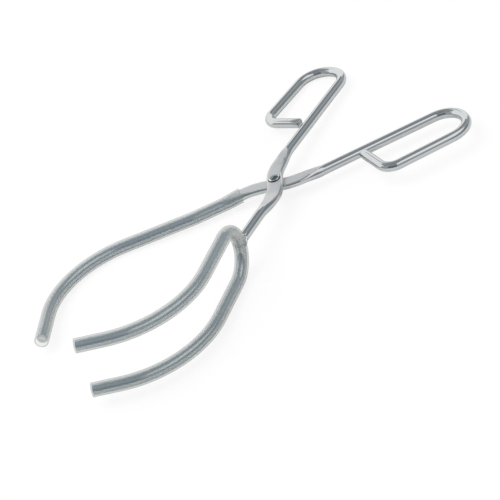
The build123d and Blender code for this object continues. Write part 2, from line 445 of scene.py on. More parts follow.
def skin(
    name: str,
    loops: Sequence[Loop],
    closed: bool,
    covered_from: float = math.inf,
    bore_from: float = math.inf,
) -> Object:
    """Covers a row of rings with faces and puts the piece on the bench.

    Args:
        name: the piece's name.
        loops: the rings, in the tongs' own frame.
        closed: whether the last ring joins the first, as in a tube, or each end gets a cap.
        covered_from: the run from which tubing covers the piece, in millimetres.
        bore_from: the number of a bore's first ring; its two edge rings still count as outside.

    Returns:
        The piece.
    """
    count = len(loops[0])
    points = [point for loop in loops for point in loop]
    faces = []
    for row in range(len(loops) if closed else len(loops) - 1):
        near, far = row * count, (row + 1) % len(loops) * count
        for number in range(count):
            after = (number + 1) % count
            faces.append((near + number, near + after, far + after, far + number))
    if not closed:
        faces.append(tuple(range(count - 1, -1, -1)))
        faces.append(tuple(range(len(points) - count, len(points))))
    mesh = bpy.data.meshes.new(name)
    mesh.from_pydata([point[0] for point in points], [], faces)
    drawn = mesh.attributes.new("drawn", "FLOAT_VECTOR", "POINT")
    drawn.data.foreach_set("vector", [value * MM for point in points for value in point[2]])
    pressed = mesh.attributes.new("pressed", "FLOAT", "POINT")
    pressed.data.foreach_set("value", [point[1] for point in points])
    covered = mesh.attributes.new("covered", "FLOAT", "POINT")
    runs = [point[2][0] for point in points]
    covered.data.foreach_set("value", [float(run >= covered_from) for run in runs])
    bore = mesh.attributes.new("bore", "FLOAT", "POINT")
    rings = [number // count for number in range(len(points))]
    bore.data.foreach_set("value", [float(bore_from < ring < len(loops) - 1) for ring in rings])
    mesh.transform(tongs_frame())
    built = bmesh.new()
    built.from_mesh(mesh)
    bmesh.ops.recalc_face_normals(built, faces=built.faces)
    built.to_mesh(mesh)
    built.free()
    smooth(mesh)
    return add_object(name, mesh)


def smooth(mesh: Mesh, crease: float = 38.0) -> None:
    """Shades a mesh smooth up to its creases.

    Args:
        mesh: the mesh.
        crease: the least angle of a crease, in degrees.
    """
    mesh.shade_smooth()
    mesh.set_sharp_from_angle(angle=math.radians(crease))


@dataclass(frozen=True)
class ArmSide:
    """One side of an arm's flat: its heading from the rivet, its bend and its taper."""

    heading: float
    bend_radius: float
    set_angle: float
    taper_lead: float
    taper_run_out: float


@dataclass(frozen=True)
class Handle:
    """One handle: its length from the rivet, and how far its foot leans and stands off."""

    length: float
    foot_slant: float
    foot_lift: float


@dataclass(frozen=True)
class Drawing:
    """The tongs' bends in millimetres and degrees, in their own frame."""

    stock: Stock = Stock()
    plate_play: float = 0.1
    crossing_angle: float = 32.7
    finger: ArmSide = ArmSide(0.0, 46.6, 0.0, taper_lead=13.0, taper_run_out=9.5)
    handle: ArmSide = ArmSide(180.0, 28.8, 2.0, taper_lead=4.0, taper_run_out=13.0)
    loop_width: float = 28.7
    loop_end_flat: float = 0.6
    loop_length: float = 59.0
    loop_flare_angle: float = 3.1
    loop_foot_radius: float = 9.0
    foot_gap: float = 2.4
    opening_angle: float = 46.7
    jaw_start_length: float = 25.0
    jaw_set_angle: float = 5.9
    jaw_set_radius: float = 40.0
    jaw_run_length: float = 41.0
    jaw_curve_radius: float = 53.9
    jaw_curve_angle: float = 75.3
    jaw_tip_length: float = 22.4
    fork_distance: float = 60.5
    fork_span: float = 31.7
    fork_apex_flat: float = 1.0
    fork_set_angle: float = 7.2
    fork_twist_angle: float = -6.0
    prong_run_length: float = 45.5
    prong_curve_radius: float = 60.2
    prong_curve_angle: float = 68.3
    prong_tip_length: float = 13.4
    weld_root_gap: float = 0.05
    cuff_length: float = 13.6
    seam_gap: float = 0.3
    taper_steps: int = 26

    @property
    def rod_height(self) -> float:
        """Height of the round rod's middle above the plane between the two flats."""
        return self.plate_play / 2 + self.stock.radius

    @property
    def fork_radius(self) -> float:
        """Radius of the fork's two bends at its apex."""
        return (self.fork_span - self.fork_apex_flat) / 2

    def arm_plane(self, arm: int) -> Matrix:
        """The plane of one arm: X towards its fingers, Z away from the other arm.

        Args:
            arm: 1 for the fork's arm and -1 for the jaw's.

        Returns:
            The plane's matrix.
        """
        heading = math.radians(180 + arm * self.opening_angle / 2)
        across = Vector((math.cos(heading), math.sin(heading), 0))
        away = Vector((0, 0, arm))
        return Matrix((across, away.cross(across), away)).transposed().to_4x4()

    def on_arm(self, side: ArmSide, distance: float) -> tuple[Vector, float]:
        """A place on an arm's middle line near the rivet.

        Args:
            side: the arm's finger side or handle side.
            distance: how far it lies beyond the end of the arc on that side.

        Returns:
            The place in the arm's plane, and the heading there in radians.
        """
        radius = side.bend_radius
        arc = radius * math.radians(self.crossing_angle + side.set_angle)
        start = math.radians(self.crossing_angle + side.heading)
        bent = min(arc + distance, arc)
        last = start - bent / radius
        beyond = arc + distance - bent
        x = radius * (math.sin(start) - math.sin(last)) + beyond * math.cos(last)
        y = radius * (math.cos(last) - math.cos(start)) + beyond * math.sin(last)
        return Vector((x, y, self.rod_height)), last

    def run_plane(self, arm: int, side: ArmSide) -> Matrix:
        """The plane of the straight run that starts where a taper ends: X along it.

        Args:
            arm: 1 for the fork's arm and -1 for the jaw's.
            side: the arm's finger side or handle side.

        Returns:
            The plane's matrix.
        """
        place, heading = self.on_arm(side, side.taper_run_out)
        turned = Matrix.Rotation(heading, 4, "Z")
        return self.arm_plane(arm) @ Matrix.Translation(place) @ turned

    def handle_line(self, arm: int, handle: Handle) -> list[Vector]:
        """The handle loop: out along the arm, round its end, back, and in towards the arm.

        Args:
            arm: 1 for the fork's arm and -1 for the jaw's.
            handle: the handle.

        Returns:
            The loop's middle line.
        """
        start, _ = self.on_arm(self.handle, self.handle.taper_run_out)
        far = handle.length - self.stock.radius - math.hypot(start.x, start.y)
        foot_x = far - self.loop_length + self.stock.radius
        foot_y = self.loop_width + (far - foot_x) * math.tan(math.radians(self.loop_flare_angle))
        end_y = self.stock.radius + self.foot_gap
        end_x = foot_x - (foot_y - end_y) * math.tan(math.radians(handle.foot_slant))
        corners = [
            (0, 0, 0),
            (far, 0, 0),
            (far, self.loop_width, 0),
            (foot_x, foot_y, handle.foot_lift / 2),
            (end_x, end_y, handle.foot_lift),
        ]
        run = self.run_plane(arm, self.handle)
        loop_radius = (self.loop_width - self.loop_end_flat) / 2
        radii = (loop_radius, loop_radius, self.loop_foot_radius)
        return rounded_line([run @ Vector(corner) for corner in corners], radii)

    def taper(
        self, arm: int, side: ArmSide, first: float = 0.0
    ) -> tuple[list[Vector], list[float]]:
        """Where the flat of an arm runs out into round rod.

        Args:
            arm: 1 for the fork's arm and -1 for the jaw's.
            side: the arm's finger side or handle side.
            first: the share of the taper that is left out at its flat end.

        Returns:
            The points of the middle line, and how far the rod is pressed at each.
        """
        plane = self.arm_plane(arm)
        points, presses = [], []
        for step in range(self.taper_steps + 1):
            share = mix(first, 1, step / self.taper_steps)
            distance = mix(-side.taper_lead, side.taper_run_out, share)
            points.append(plane @ self.on_arm(side, distance)[0])
            presses.append(1 - share * share * (3 - 2 * share))
        return points, presses

    def bent_line(
        self,
        plane: Matrix,
        legs: Sequence[float],
        turns: Sequence[float],
        radii: Sequence[float],
        height: float = 0.0,
    ) -> list[Vector]:
        """Corner points of straight legs joined by bends.

        Args:
            plane: the plane that they lie in.
            legs: the legs' straight lengths.
            turns: the angles of the bends between them, in degrees.
            radii: the bends' radii.
            height: the height of the line above the plane.

        Returns:
            The corners.
        """
        tangents = [r * math.tan(math.radians(abs(turn)) / 2) for turn, r in zip(turns, radii)]
        corners = [Vector((0, 0, height))]
        heading = 0.0
        for number, leg in enumerate(legs):
            length = leg + sum(tangents[max(number - 1, 0) : number + 1])
            step = Vector((math.cos(heading), math.sin(heading), 0)) * length
            corners.append(corners[-1] + step)
            heading += math.radians(turns[number]) if number < len(turns) else 0
        return [plane @ corner for corner in corners]

    def jaw_line(self, overhang: float) -> list[Vector]:
        """The middle line of the round part of the single jaw.

        Args:
            overhang: how far it goes past the rod's tip.

        Returns:
            The points.
        """
        legs = (
            self.jaw_start_length - self.finger.taper_run_out,
            self.jaw_run_length,
            self.jaw_tip_length + overhang,
        )
        radii = (self.jaw_set_radius, self.jaw_curve_radius)
        plane = self.run_plane(-1, self.finger)
        turns = (self.jaw_set_angle, -self.jaw_curve_angle)
        return rounded_line(self.bent_line(plane, legs, turns, radii), radii)

    def stub_line(self) -> list[Vector]:
        """The straight stub between the fork arm's flat and the weld."""
        plane = self.run_plane(1, self.finger)
        start, _ = self.on_arm(self.finger, self.finger.taper_run_out)
        length = self.fork_distance - self.stock.radius - self.weld_root_gap - start.x
        return rounded_line([plane @ Vector((0, 0, 0)), plane @ Vector((length, 0, 0))], ())

    def apex_plane(self) -> Matrix:
        """The plane at the fork's apex: X along the stub."""
        start, _ = self.on_arm(self.finger, self.finger.taper_run_out)
        run = self.run_plane(1, self.finger)
        return run @ Matrix.Translation((self.fork_distance - start.x, 0, 0))

    def prong_corners(self, side: int, overhang: float) -> list[Vector]:
        """Corners of one prong's middle line.

        Args:
            side: 1 for the upper prong and -1 for the lower.
            overhang: how far it goes past the rod's tip.

        Returns:
            The corners, from beside the apex to the tip.
        """
        twist = Matrix.Rotation(math.radians(self.fork_twist_angle), 4, "X")
        plane = self.apex_plane() @ twist
        plane = plane @ Matrix.Rotation(math.radians(self.fork_set_angle), 4, "Z")
        legs = (self.prong_run_length, self.prong_tip_length + overhang)
        turns, radii = (-self.prong_curve_angle,), (self.prong_curve_radius,)
        corners = self.bent_line(plane, legs, turns, radii, side * self.fork_span / 2)
        return [plane @ Vector((0, 0, side * self.seam_gap / 2)), *corners]

    def prong_line(self, side: int, overhang: float) -> list[Vector]:
        """The middle line of one prong from the seam at the apex.

        Args:
            side: 1 for the upper prong and -1 for the lower.
            overhang: how far it goes past the rod's tip.

        Returns:
            The points.
        """
        radii = (self.fork_radius, self.prong_curve_radius)
        return rounded_line(self.prong_corners(side, overhang), radii)


@dataclass(frozen=True)
class Metal:
    """A bare metal finish."""

    name: str

    def surface(self, tree: NodeTree) -> Surface:
        """Says what the metal looks like at each place.

        Args:
            tree: the material's nodes.

        Returns:
            Its colour, roughness and relief.
        """
        raise NotImplementedError

    def build(self) -> Material:
        """Builds the material.

        Returns:
            The finished material.
        """
        material, tree = blank_material(self.name)
        tint, roughness, relief = self.surface(tree)
        feeds = {"Base Color": tint, "Metallic": 1.0, "Roughness": roughness, "Normal": relief}
        metal = add_node(tree, "ShaderNodeBsdfPrincipled", feeds)
        add_node(tree, "ShaderNodeOutputMaterial", {"Surface": metal})
        return material


@dataclass(frozen=True)
class DrawnRod(Metal):
    """Stainless rod, cold drawn and electropolished.

    To the eye it is a slightly soft mirror: long streaks of the surroundings run along it, and
    faint ripples left by drawing break up their edges. Under the tubing it is a little duller.
    """

    name: str = "stainless_drawn_electropolished"
    tone: str = "#d8dadb"
    shade: str = "#c9cccd"
    roughness: float = 0.09
    roughness_spread: float = 0.03
    covered_roughness: float = 0.08
    ripple_length_mm: float = 9.0
    ripple_height_mm: float = 0.01
    streak_length_mm: float = 30.0
    streak_width_mm: float = 0.9
    streak_height_mm: float = 0.006
    cloud_length_mm: float = 26.0

    def surface(self, tree: NodeTree) -> Surface:
        """Says what the rod looks like at each place.

        Args:
            tree: the material's nodes.

        Returns:
            Its colour, roughness and relief.
        """
        place = add_node(tree, "ShaderNodeTexCoord").outputs["Object"]
        drawn = add_node(tree, "ShaderNodeAttribute", attribute_name="drawn").outputs["Vector"]
        width = per_metre(self.streak_width_mm)
        feeds = {0: drawn, 1: (per_metre(self.streak_length_mm), width, width)}
        drawn = add_node(tree, "ShaderNodeVectorMath", feeds, operation="MULTIPLY")
        streaks = add_node(tree, "ShaderNodeTexNoise", {"Vector": drawn, "Scale": 1.0})
        feeds = {"Vector": place, "Scale": per_metre(self.cloud_length_mm), "Detail": 3.0}
        cloud = add_node(tree, "ShaderNodeTexNoise", feeds)
        feeds = {"Vector": place, "Scale": per_metre(self.ripple_length_mm)}
        ripple = add_node(tree, "ShaderNodeTexNoise", feeds)
        feeds = {
            "Value": cloud,
            "To Min": self.roughness - self.roughness_spread,
            "To Max": self.roughness + self.roughness_spread,
        }
        gloss = add_node(tree, "ShaderNodeMapRange", feeds)
        covered = add_node(tree, "ShaderNodeAttribute", attribute_name="covered").outputs["Fac"]
        feeds = {0: covered, 1: self.covered_roughness, 2: gloss}
        gloss = add_node(tree, "ShaderNodeMath", feeds, operation="MULTIPLY_ADD")
        feeds = {"Height": ripple, "Distance": self.ripple_height_mm * MM}
        relief = add_node(tree, "ShaderNodeBump", feeds)
        feeds = {"Height": streaks, "Distance": self.streak_height_mm * MM, "Normal": relief}
        relief = add_node(tree, "ShaderNodeBump", feeds)
        feeds = {0: cloud, 6: linear(self.tone), 7: linear(self.shade)}
        tint = add_node(tree, "ShaderNodeMix", feeds, data_type="RGBA").outputs[2]
        return tint, gloss, relief


@dataclass(frozen=True)
class PressedRod(DrawnRod):
    """The same rod with its middle pressed flat between dies at the rivet.

    The flat faces keep the dies' fine grain, so to the eye they are pale and even, while the
    round rod beyond them and the flat's own edges stay bright.
    """

    name: str = "stainless_drawn_with_pressed_flat"
    flat_tone: str = "#d2d4d5"
    flat_roughness: float = 0.36
    grain_length_mm: float = 0.5
    grain_height_mm: float = 0.004

    def surface(self, tree: NodeTree) -> Surface:
        """Says what the rod and its flat look like at each place.

        Args:
            tree: the material's nodes.

        Returns:
            Their colour, roughness and relief.
        """
        tint, gloss, relief = super().surface(tree)
        flat = add_node(tree, "ShaderNodeAttribute", attribute_name="pressed").outputs["Fac"]
        feeds = {0: flat, 6: tint, 7: linear(self.flat_tone)}
        tint = add_node(tree, "ShaderNodeMix", feeds, data_type="RGBA").outputs[2]
        feeds = {0: flat, 2: gloss, 3: self.flat_roughness}
        gloss = add_node(tree, "ShaderNodeMix", feeds, data_type="FLOAT")
        place = add_node(tree, "ShaderNodeTexCoord").outputs["Object"]
        feeds = {"Vector": place, "Scale": per_metre(self.grain_length_mm)}
        grain = add_node(tree, "ShaderNodeTexNoise", feeds)
        grain = add_node(tree, "ShaderNodeMath", {0: grain, 1: flat}, operation="MULTIPLY")
        feeds = {"Height": grain, "Distance": self.grain_height_mm * MM, "Normal": relief}
        return tint, gloss, add_node(tree, "ShaderNodeBump", feeds)


@dataclass(frozen=True)
class HeadedRivet(Metal):
    """Stainless rivet, cold headed.

    To the eye its crown carries fine turning marks. Its colour is painted darker on the crown for
    the dark reflection seen there and lighter on the rim for the rim's bright reflection, and a
    dark line of painted shadow shows where the rim meets the flat.
    """

    name: str = "stainless_rivet_cold_headed"
    # The rim takes tone, painted light for its bright reflection; the crown takes shade, painted
    # dark for the dark reflection there.
    tone: str = "#f0f1f1"
    shade: str = "#7d878a"
    # The colour of a painted shadow ring round the rim's foot.
    seam_tone: str = "#2e3335"
    roughness: float = 0.16
    dull_radius_mm: float = 2.6
    bright_radius_mm: float = 3.0
    seam_radius_mm: float = 3.25
    seam_blend_mm: float = 0.2
    mark_spacing_mm: float = 0.35
    mark_height_mm: float = 0.006
    mark_strength: float = 0.5
    stain_length_mm: float = 3.0
    stain_reach_mm: float = 1.0

    def surface(self, tree: NodeTree) -> Surface:
        """Says what the rivet looks like at each place.

        Args:
            tree: the material's nodes.

        Returns:
            Its colour, roughness and relief.
        """
        centre, axis = rivet_axis()
        place = add_node(tree, "ShaderNodeTexCoord").outputs["Object"]
        feeds = {0: place, 1: centre}
        offset = add_node(tree, "ShaderNodeVectorMath", feeds, operation="SUBTRACT")
        feeds = {0: offset, 1: axis}
        across = add_node(tree, "ShaderNodeVectorMath", feeds, operation="CROSS_PRODUCT")
        length = add_node(tree, "ShaderNodeVectorMath", {0: across}, operation="LENGTH")
        radius = length.outputs["Value"]
        # Noise that makes the edge between the painted dark crown and the painted light rim uneven.
        feeds = {"Vector": place, "Scale": per_metre(self.stain_length_mm), "Detail": 3.0}
        stain = add_node(tree, "ShaderNodeTexNoise", feeds)
        feeds = {0: stain, 1: self.stain_reach_mm * MM, 2: radius}
        uneven = add_node(tree, "ShaderNodeMath", feeds, operation="MULTIPLY_ADD")
        middle = self.stain_reach_mm / 2
        feeds = {
            "Value": uneven,
            "From Min": (self.dull_radius_mm + middle) * MM,
            "From Max": (self.bright_radius_mm + middle) * MM,
        }
        rim = add_node(tree, "ShaderNodeMapRange", feeds, interpolation_type="SMOOTHSTEP")
        # Painted shadow: a thin dark ring just outside the rim, where it meets the flat.
        feeds = {
            "Value": radius,
            "From Min": self.seam_radius_mm * MM,
            "From Max": (self.seam_radius_mm + self.seam_blend_mm) * MM,
        }
        seam = add_node(tree, "ShaderNodeMapRange", feeds)
        # Painted reflection: the crown is coloured darker and the rim lighter.
        feeds = {0: rim, 6: linear(self.shade), 7: linear(self.tone)}
        tint = add_node(tree, "ShaderNodeMix", feeds, data_type="RGBA").outputs[2]
        # Darkens that ring with the painted shadow's colour.
        feeds = {0: seam, 6: tint, 7: linear(self.seam_tone)}
        tint = add_node(tree, "ShaderNodeMix", feeds, data_type="RGBA").outputs[2]
        feeds = {0: radius, 1: 2 * math.pi / (self.mark_spacing_mm * MM)}
        rings = add_node(tree, "ShaderNodeMath", feeds, operation="MULTIPLY")
        rings = add_node(tree, "ShaderNodeMath", {0: rings}, operation="SINE")
        feeds = {
            "Height": rings,
            "Distance": self.mark_height_mm * MM,
            "Strength": self.mark_strength,
        }
        return tint, self.roughness, add_node(tree, "ShaderNodeBump", feeds)


@dataclass(frozen=True)
class CleanedWeld(Metal):
    """Stainless weld metal, brushed and pickled after welding.

    To the eye it is whiter and lumpier than the rod, and its colour is painted dark in the hollows
    between the lumps, as painted shade.
    """

    name: str = "stainless_weld_pickled"
    tone: str = "#f3f4f4"
    # The colour of the painted shade in the hollows, and the lump levels over which it fades out.
    hollow_tone: str = "#6b6a66"
    hollow_levels: tuple[float, float] = (0.4, 0.52)
    roughness: float = 0.18
    ripple_length_mm: float = 1.3
    ripple_height_mm: float = 0.25
    ripple_strength: float = 0.8

    def surface(self, tree: NodeTree) -> Surface:
        """Says what the weld looks like at each place.

        Args:
            tree: the material's nodes.

        Returns:
            Its colour, roughness and relief.
        """
        place = add_node(tree, "ShaderNodeTexCoord").outputs["Object"]
        feeds = {"Vector": place, "Scale": per_metre(self.ripple_length_mm), "Detail": 3.0}
        lumps = add_node(tree, "ShaderNodeTexNoise", feeds)
        # Painted shade: where the lumps are low, the colour turns dark.
        low, high = self.hollow_levels
        feeds = {"Value": lumps, "From Min": low, "From Max": high}
        bead = add_node(tree, "ShaderNodeMapRange", feeds)
        feeds = {0: bead, 6: linear(self.hollow_tone), 7: linear(self.tone)}
        tint = add_node(tree, "ShaderNodeMix", feeds, data_type="RGBA").outputs[2]
        feeds = {
            "Height": lumps,
            "Distance": self.ripple_height_mm * MM,
            "Strength": self.ripple_strength,
        }
        return tint, self.roughness, add_node(tree, "ShaderNodeBump", feeds)


@dataclass(frozen=True)
class ClearTubing:
    """Plasticised PVC tubing, extruded clear.

    To the eye it is glassy and slightly smoky: the steel in its bore shows as a bluish grey core
    with soft streaks, and the wall beside it turns milky and pale towards the tube's edges. The
    haze's colour is painted by how squarely the wall faces the view: bluish grey over the core, a
    painted reflection of the steel, and pale beige towards the edges, partly the haze's own colour
    and partly a painted pale reflection.
    """

    name: str = "pvc_tubing_extruded_clear"
    tint: str = "#f6f6f4"
    # Haze colours: bluish grey over the core as a painted reflection, and pale beige at the edges,
    # partly own colour and partly a painted reflection.
    core_milk: str = "#a3b3bf"
    edge_milk: str = "#d2cec6"
    haze: float = 0.4
    edge_haze: float = 0.78
    haze_start: float = 0.2
    bore_share: float = 0.01
    ior: float = 1.5
    roughness: float = 0.1
    roughness_spread: float = 0.04
    wave_length_mm: float = 12.0
    wave_height_mm: float = 0.05

    def build(self) -> Material:
        """Builds the material.

        Returns:
            The finished material.
        """
        material, tree = blank_material(self.name)
        place = add_node(tree, "ShaderNodeTexCoord").outputs["Object"]
        feeds = {"Vector": place, "Scale": per_metre(self.wave_length_mm), "Detail": 1.0}
        waves = add_node(tree, "ShaderNodeTexNoise", feeds)
        feeds = {
            "Value": waves,
            "To Min": self.roughness - self.roughness_spread,
            "To Max": self.roughness + self.roughness_spread,
        }
        gloss = add_node(tree, "ShaderNodeMapRange", feeds)
        feeds = {"Height": waves, "Distance": self.wave_height_mm * MM}
        relief = add_node(tree, "ShaderNodeBump", feeds)
        # Only the outside is milky and glossy: the bore would catch what the rod sends back.
        bore = add_node(tree, "ShaderNodeAttribute", attribute_name="bore").outputs["Fac"]
        feeds = {0: bore, 1: self.bore_share}
        outside = add_node(tree, "ShaderNodeMath", feeds, operation="LESS_THAN")
        behind = add_node(tree, "ShaderNodeNewGeometry").outputs["Backfacing"]
        feeds = {0: outside, 1: behind}
        front = add_node(tree, "ShaderNodeMath", feeds, operation="SUBTRACT", use_clamp=True)
        slant = add_node(tree, "ShaderNodeLayerWeight").outputs["Facing"]
        edge = add_node(tree, "ShaderNodeMapRange", {"Value": slant, "From Min": self.haze_start})
        feeds = {"Value": edge, "To Min": self.haze, "To Max": self.edge_haze}
        milky = add_node(tree, "ShaderNodeMapRange", feeds)
        milky = add_node(tree, "ShaderNodeMath", {0: milky, 1: front}, operation="MULTIPLY")
        shine = add_node(tree, "ShaderNodeFresnel", {"IOR": self.ior, "Normal": relief})
        shine = add_node(tree, "ShaderNodeMath", {0: shine, 1: front}, operation="MULTIPLY")
        clear = add_node(tree, "ShaderNodeBsdfTransparent", {"Color": linear(self.tint)})
        # Painted reflection: the haze turns bluish grey where the wall faces the view and pale
        # beige towards the edges.
        feeds = {0: edge, 6: linear(self.core_milk), 7: linear(self.edge_milk)}
        milk_tone = add_node(tree, "ShaderNodeMix", feeds, data_type="RGBA").outputs[2]
        milk = add_node(tree, "ShaderNodeBsdfDiffuse", {"Color": milk_tone})
        feeds = {"Roughness": gloss, "Normal": relief}
        glint = add_node(tree, "ShaderNodeBsdfGlossy", feeds)
        wall = add_node(tree, "ShaderNodeMixShader", {0: milky, 1: clear, 2: milk})
        plastic = add_node(tree, "ShaderNodeMixShader", {0: shine, 1: wall, 2: glint})
        add_node(tree, "ShaderNodeOutputMaterial", {"Surface": plastic})
        return material


def fit(piece: Object, half: Half, node: str) -> None:
    """Makes a piece ride on its half of the tongs and stand for its CAD node.

    Args:
        piece: the piece.
        half: the half that carries it.
        node: the CAD node that it stands for.
    """
    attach(piece, half.value)
    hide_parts(node)


@dataclass
class Arms:
    """The two bent arms, each one length of rod with a handle loop and a pressed flat."""

    drawing: Drawing
    finish: DrawnRod = PressedRod()
    fork_arm_handle: Handle = Handle(length=113.8, foot_slant=1.5, foot_lift=1.2)
    jaw_arm_handle: Handle = Handle(length=117.3, foot_slant=10.5, foot_lift=-1.2)
    end_edge_radius_mm: float = 0.3

    def strand(self, arm: int) -> Strand:
        """The whole of one arm, from its foot round the loop to the far end of its finger.

        Args:
            arm: 1 for the fork's arm and -1 for the jaw's.

        Returns:
            The arm's sections.
        """
        drawing = self.drawing
        handle = self.fork_arm_handle if arm == 1 else self.jaw_arm_handle
        loop = drawing.handle_line(arm, handle)
        handle_taper, handle_presses = drawing.taper(arm, drawing.handle)
        finger_taper, finger_presses = drawing.taper(arm, drawing.finger)
        middle = self.flat_line(arm)
        finger = drawing.stub_line() if arm == 1 else drawing.jaw_line(0.0)
        points = loop[:0:-1] + handle_taper[::-1] + middle + finger_taper + finger[1:]
        presses = [0.0] * (len(loop) - 1) + handle_presses[::-1] + [1.0] * len(middle)
        presses += finger_presses + [0.0] * (len(finger) - 1)
        first = len(loop) + len(handle_taper)
        top = drawing.arm_plane(arm).to_3x3() @ Vector((0, 0, 1))
        return Strand.along(drawing.stock, points, top, presses, first)

    def flat_line(self, arm: int, step: float = 2.0) -> list[Vector]:
        """Points along the middle of an arm's flat, between its two tapers.

        Args:
            arm: 1 for the fork's arm and -1 for the jaw's.
            step: the gap between them.

        Returns:
            The points, from the handle's side to the finger's.
        """
        drawing, plane = self.drawing, self.drawing.arm_plane(arm)
        rows = []
        for side in (drawing.handle, drawing.finger):
            arc = side.bend_radius * math.radians(drawing.crossing_angle + side.set_angle)
            length = arc - side.taper_lead
            count = math.ceil(length / step)
            starts = (length * n / count - length - side.taper_lead for n in range(count))
            rows.append([plane @ drawing.on_arm(side, start)[0] for start in starts])
        return rows[0][:0:-1] + rows[1]

    def dress(self) -> list[Object]:
        """Builds both arms.

        Returns:
            The arms' objects.
        """
        steel = self.finish.build()
        arms = []
        for node, arm, half in (("fork_arm", 1, Half.FORK), ("jaw_arm", -1, Half.JAW)):
            strand = self.strand(arm)
            covered_from = math.inf
            if half is Half.JAW:
                jaw_points = len(self.drawing.jaw_line(0.0))
                covered_from = strand.spots[-jaw_points].run - self.drawing.cuff_length
            loops = strand.loops(0.0, self.end_edge_radius_mm)
            rod = skin(node + ".rod", loops, False, covered_from)
            paint(rod, steel)
            fit(rod, half, node)
            arms.append(rod)
        return arms


@dataclass
class Fork:
    """The rod bent into a fork, and the weld that holds it to the end of its arm."""

    drawing: Drawing
    rod_finish: DrawnRod = DrawnRod()
    weld_finish: CleanedWeld = CleanedWeld()
    end_edge_radius_mm: float = 0.3
    tip_reach_mm: float = 1.9

    def dress(self) -> list[Object]:
        """Builds the fork and gives its weld a finish.

        Returns:
            The fork's and the weld's objects.
        """
        upper = self.drawing.prong_corners(1, self.tip_reach_mm)[1:]
        lower = self.drawing.prong_corners(-1, self.tip_reach_mm)[1:]
        bends = (self.drawing.prong_curve_radius, self.drawing.fork_radius)
        line = rounded_line(upper[::-1] + lower, (*bends, *bends[::-1]))
        strand = Strand.along(self.drawing.stock, line, Vector((0, 0, 1)))
        prongs = skin("fork_prongs.rod", strand.loops(0.0, self.end_edge_radius_mm), False, 0.0)
        paint(prongs, self.rod_finish.build())
        fit(prongs, Half.FORK, "fork_prongs")
        weld = frame["nodes"]["fork_weld"]
        paint(weld, self.weld_finish.build())
        return [prongs, weld]


@dataclass
class Rivet:
    """The rivet that the arms turn on."""

    finish: HeadedRivet = HeadedRivet()

    def dress(self) -> list[Object]:
        """Gives the rivet its finish.

        Returns:
            The rivet's object.
        """
        rivet = frame["nodes"]["pivot_rivet"]
        paint(rivet, self.finish.build())
        return [rivet]


@dataclass
class Sleeves:
    """The three lengths of clear tubing that are pushed over the fingers."""

    drawing: Drawing
    finish: ClearTubing = ClearTubing()
    diameter_mm: float = 8.2
    fit_mm: float = 0.09
    overhang_mm: float = 2.5
    cut_edge_radius_mm: float = 0.12
    notch_radius_mm: float = 4.1
    notch_segments: int = 64

    def tube(self, node: str, strand: Strand) -> Object:
        """One sleeve, with its bore.

        Args:
            node: the CAD node that it stands for.
            strand: its sections.

        Returns:
            The sleeve.
        """
        edge = self.cut_edge_radius_mm
        outside = strand.loops(self.diameter_mm / 2 - strand.stock.radius, edge)
        bore = strand.loops(self.fit_mm, -edge)
        rings = outside + bore[::-1]
        return skin(node + ".tubing", rings, True, bore_from=len(outside))

    def jaw_strand(self) -> Strand:
        """The sections of the jaw's sleeve, with the cuff that reaches over the flat."""
        drawing = self.drawing
        length = drawing.finger.taper_lead + drawing.finger.taper_run_out
        cuff, presses = drawing.taper(-1, drawing.finger, 1 - drawing.cuff_length / length)
        jaw = drawing.jaw_line(self.overhang_mm)[1:]
        top = drawing.arm_plane(-1).to_3x3() @ Vector((0, 0, 1))
        return Strand.along(drawing.stock, cuff + jaw, top, presses + [0.0] * len(jaw))

    def prong_strand(self, side: int) -> Strand:
        """The sections of one prong's sleeve.

        Args:
            side: 1 for the upper prong and -1 for the lower.

        Returns:
            The sleeve's sections.
        """
        line = self.drawing.prong_line(side, self.overhang_mm)
        top = self.drawing.apex_plane().to_3x3() @ Vector((-1, 0, 0))
        return Strand.along(self.drawing.stock, line, top)

    def notch(self, sleeve: Object) -> None:
        """Cuts the notch that lets the stub and its weld reach the fork's rod.

        Args:
            sleeve: the sleeve to cut.
        """
        mesh = bpy.data.meshes.new("notch_cutter")
        built = bmesh.new()
        depth = self.diameter_mm
        place = self.drawing.apex_plane() @ Matrix.Translation((-depth / 2, 0, 0))
        bmesh.ops.create_cone(
            built,
            cap_ends=True,
            segments=self.notch_segments,
            radius1=self.notch_radius_mm,
            radius2=self.notch_radius_mm,
            depth=depth,
            matrix=tongs_frame() @ place @ Matrix.Rotation(math.pi / 2, 4, "Y"),
        )
        built.to_mesh(mesh)
        built.free()
        cutter = add_object("notch_cutter", mesh)
        cut = sleeve.modifiers.new("notch", "BOOLEAN")
        cut.operation = "DIFFERENCE"
        cut.object = cutter
        seen = sleeve.evaluated_get(bpy.context.evaluated_depsgraph_get())
        finished = bpy.data.meshes.new_from_object(seen)
        sleeve.modifiers.clear()
        sleeve.data = finished
        smooth(finished)
        bpy.data.objects.remove(cutter)

    def dress(self) -> list[Object]:
        """Builds the three sleeves.

        Returns:
            The sleeves' objects.
        """
        tubing = self.finish.build()
        jaw = self.tube("jaw_sleeve", self.jaw_strand())
        fit(jaw, Half.JAW, "jaw_sleeve")
        sleeves = [jaw]
        for side, node in ((1, "upper_prong_sleeve"), (-1, "lower_prong_sleeve")):
            sleeve = self.tube(node, self.prong_strand(side))
            self.notch(sleeve)
            fit(sleeve, Half.FORK, node)
            sleeves.append(sleeve)
        for sleeve in sleeves:
            paint(sleeve, tubing)
        return sleeves


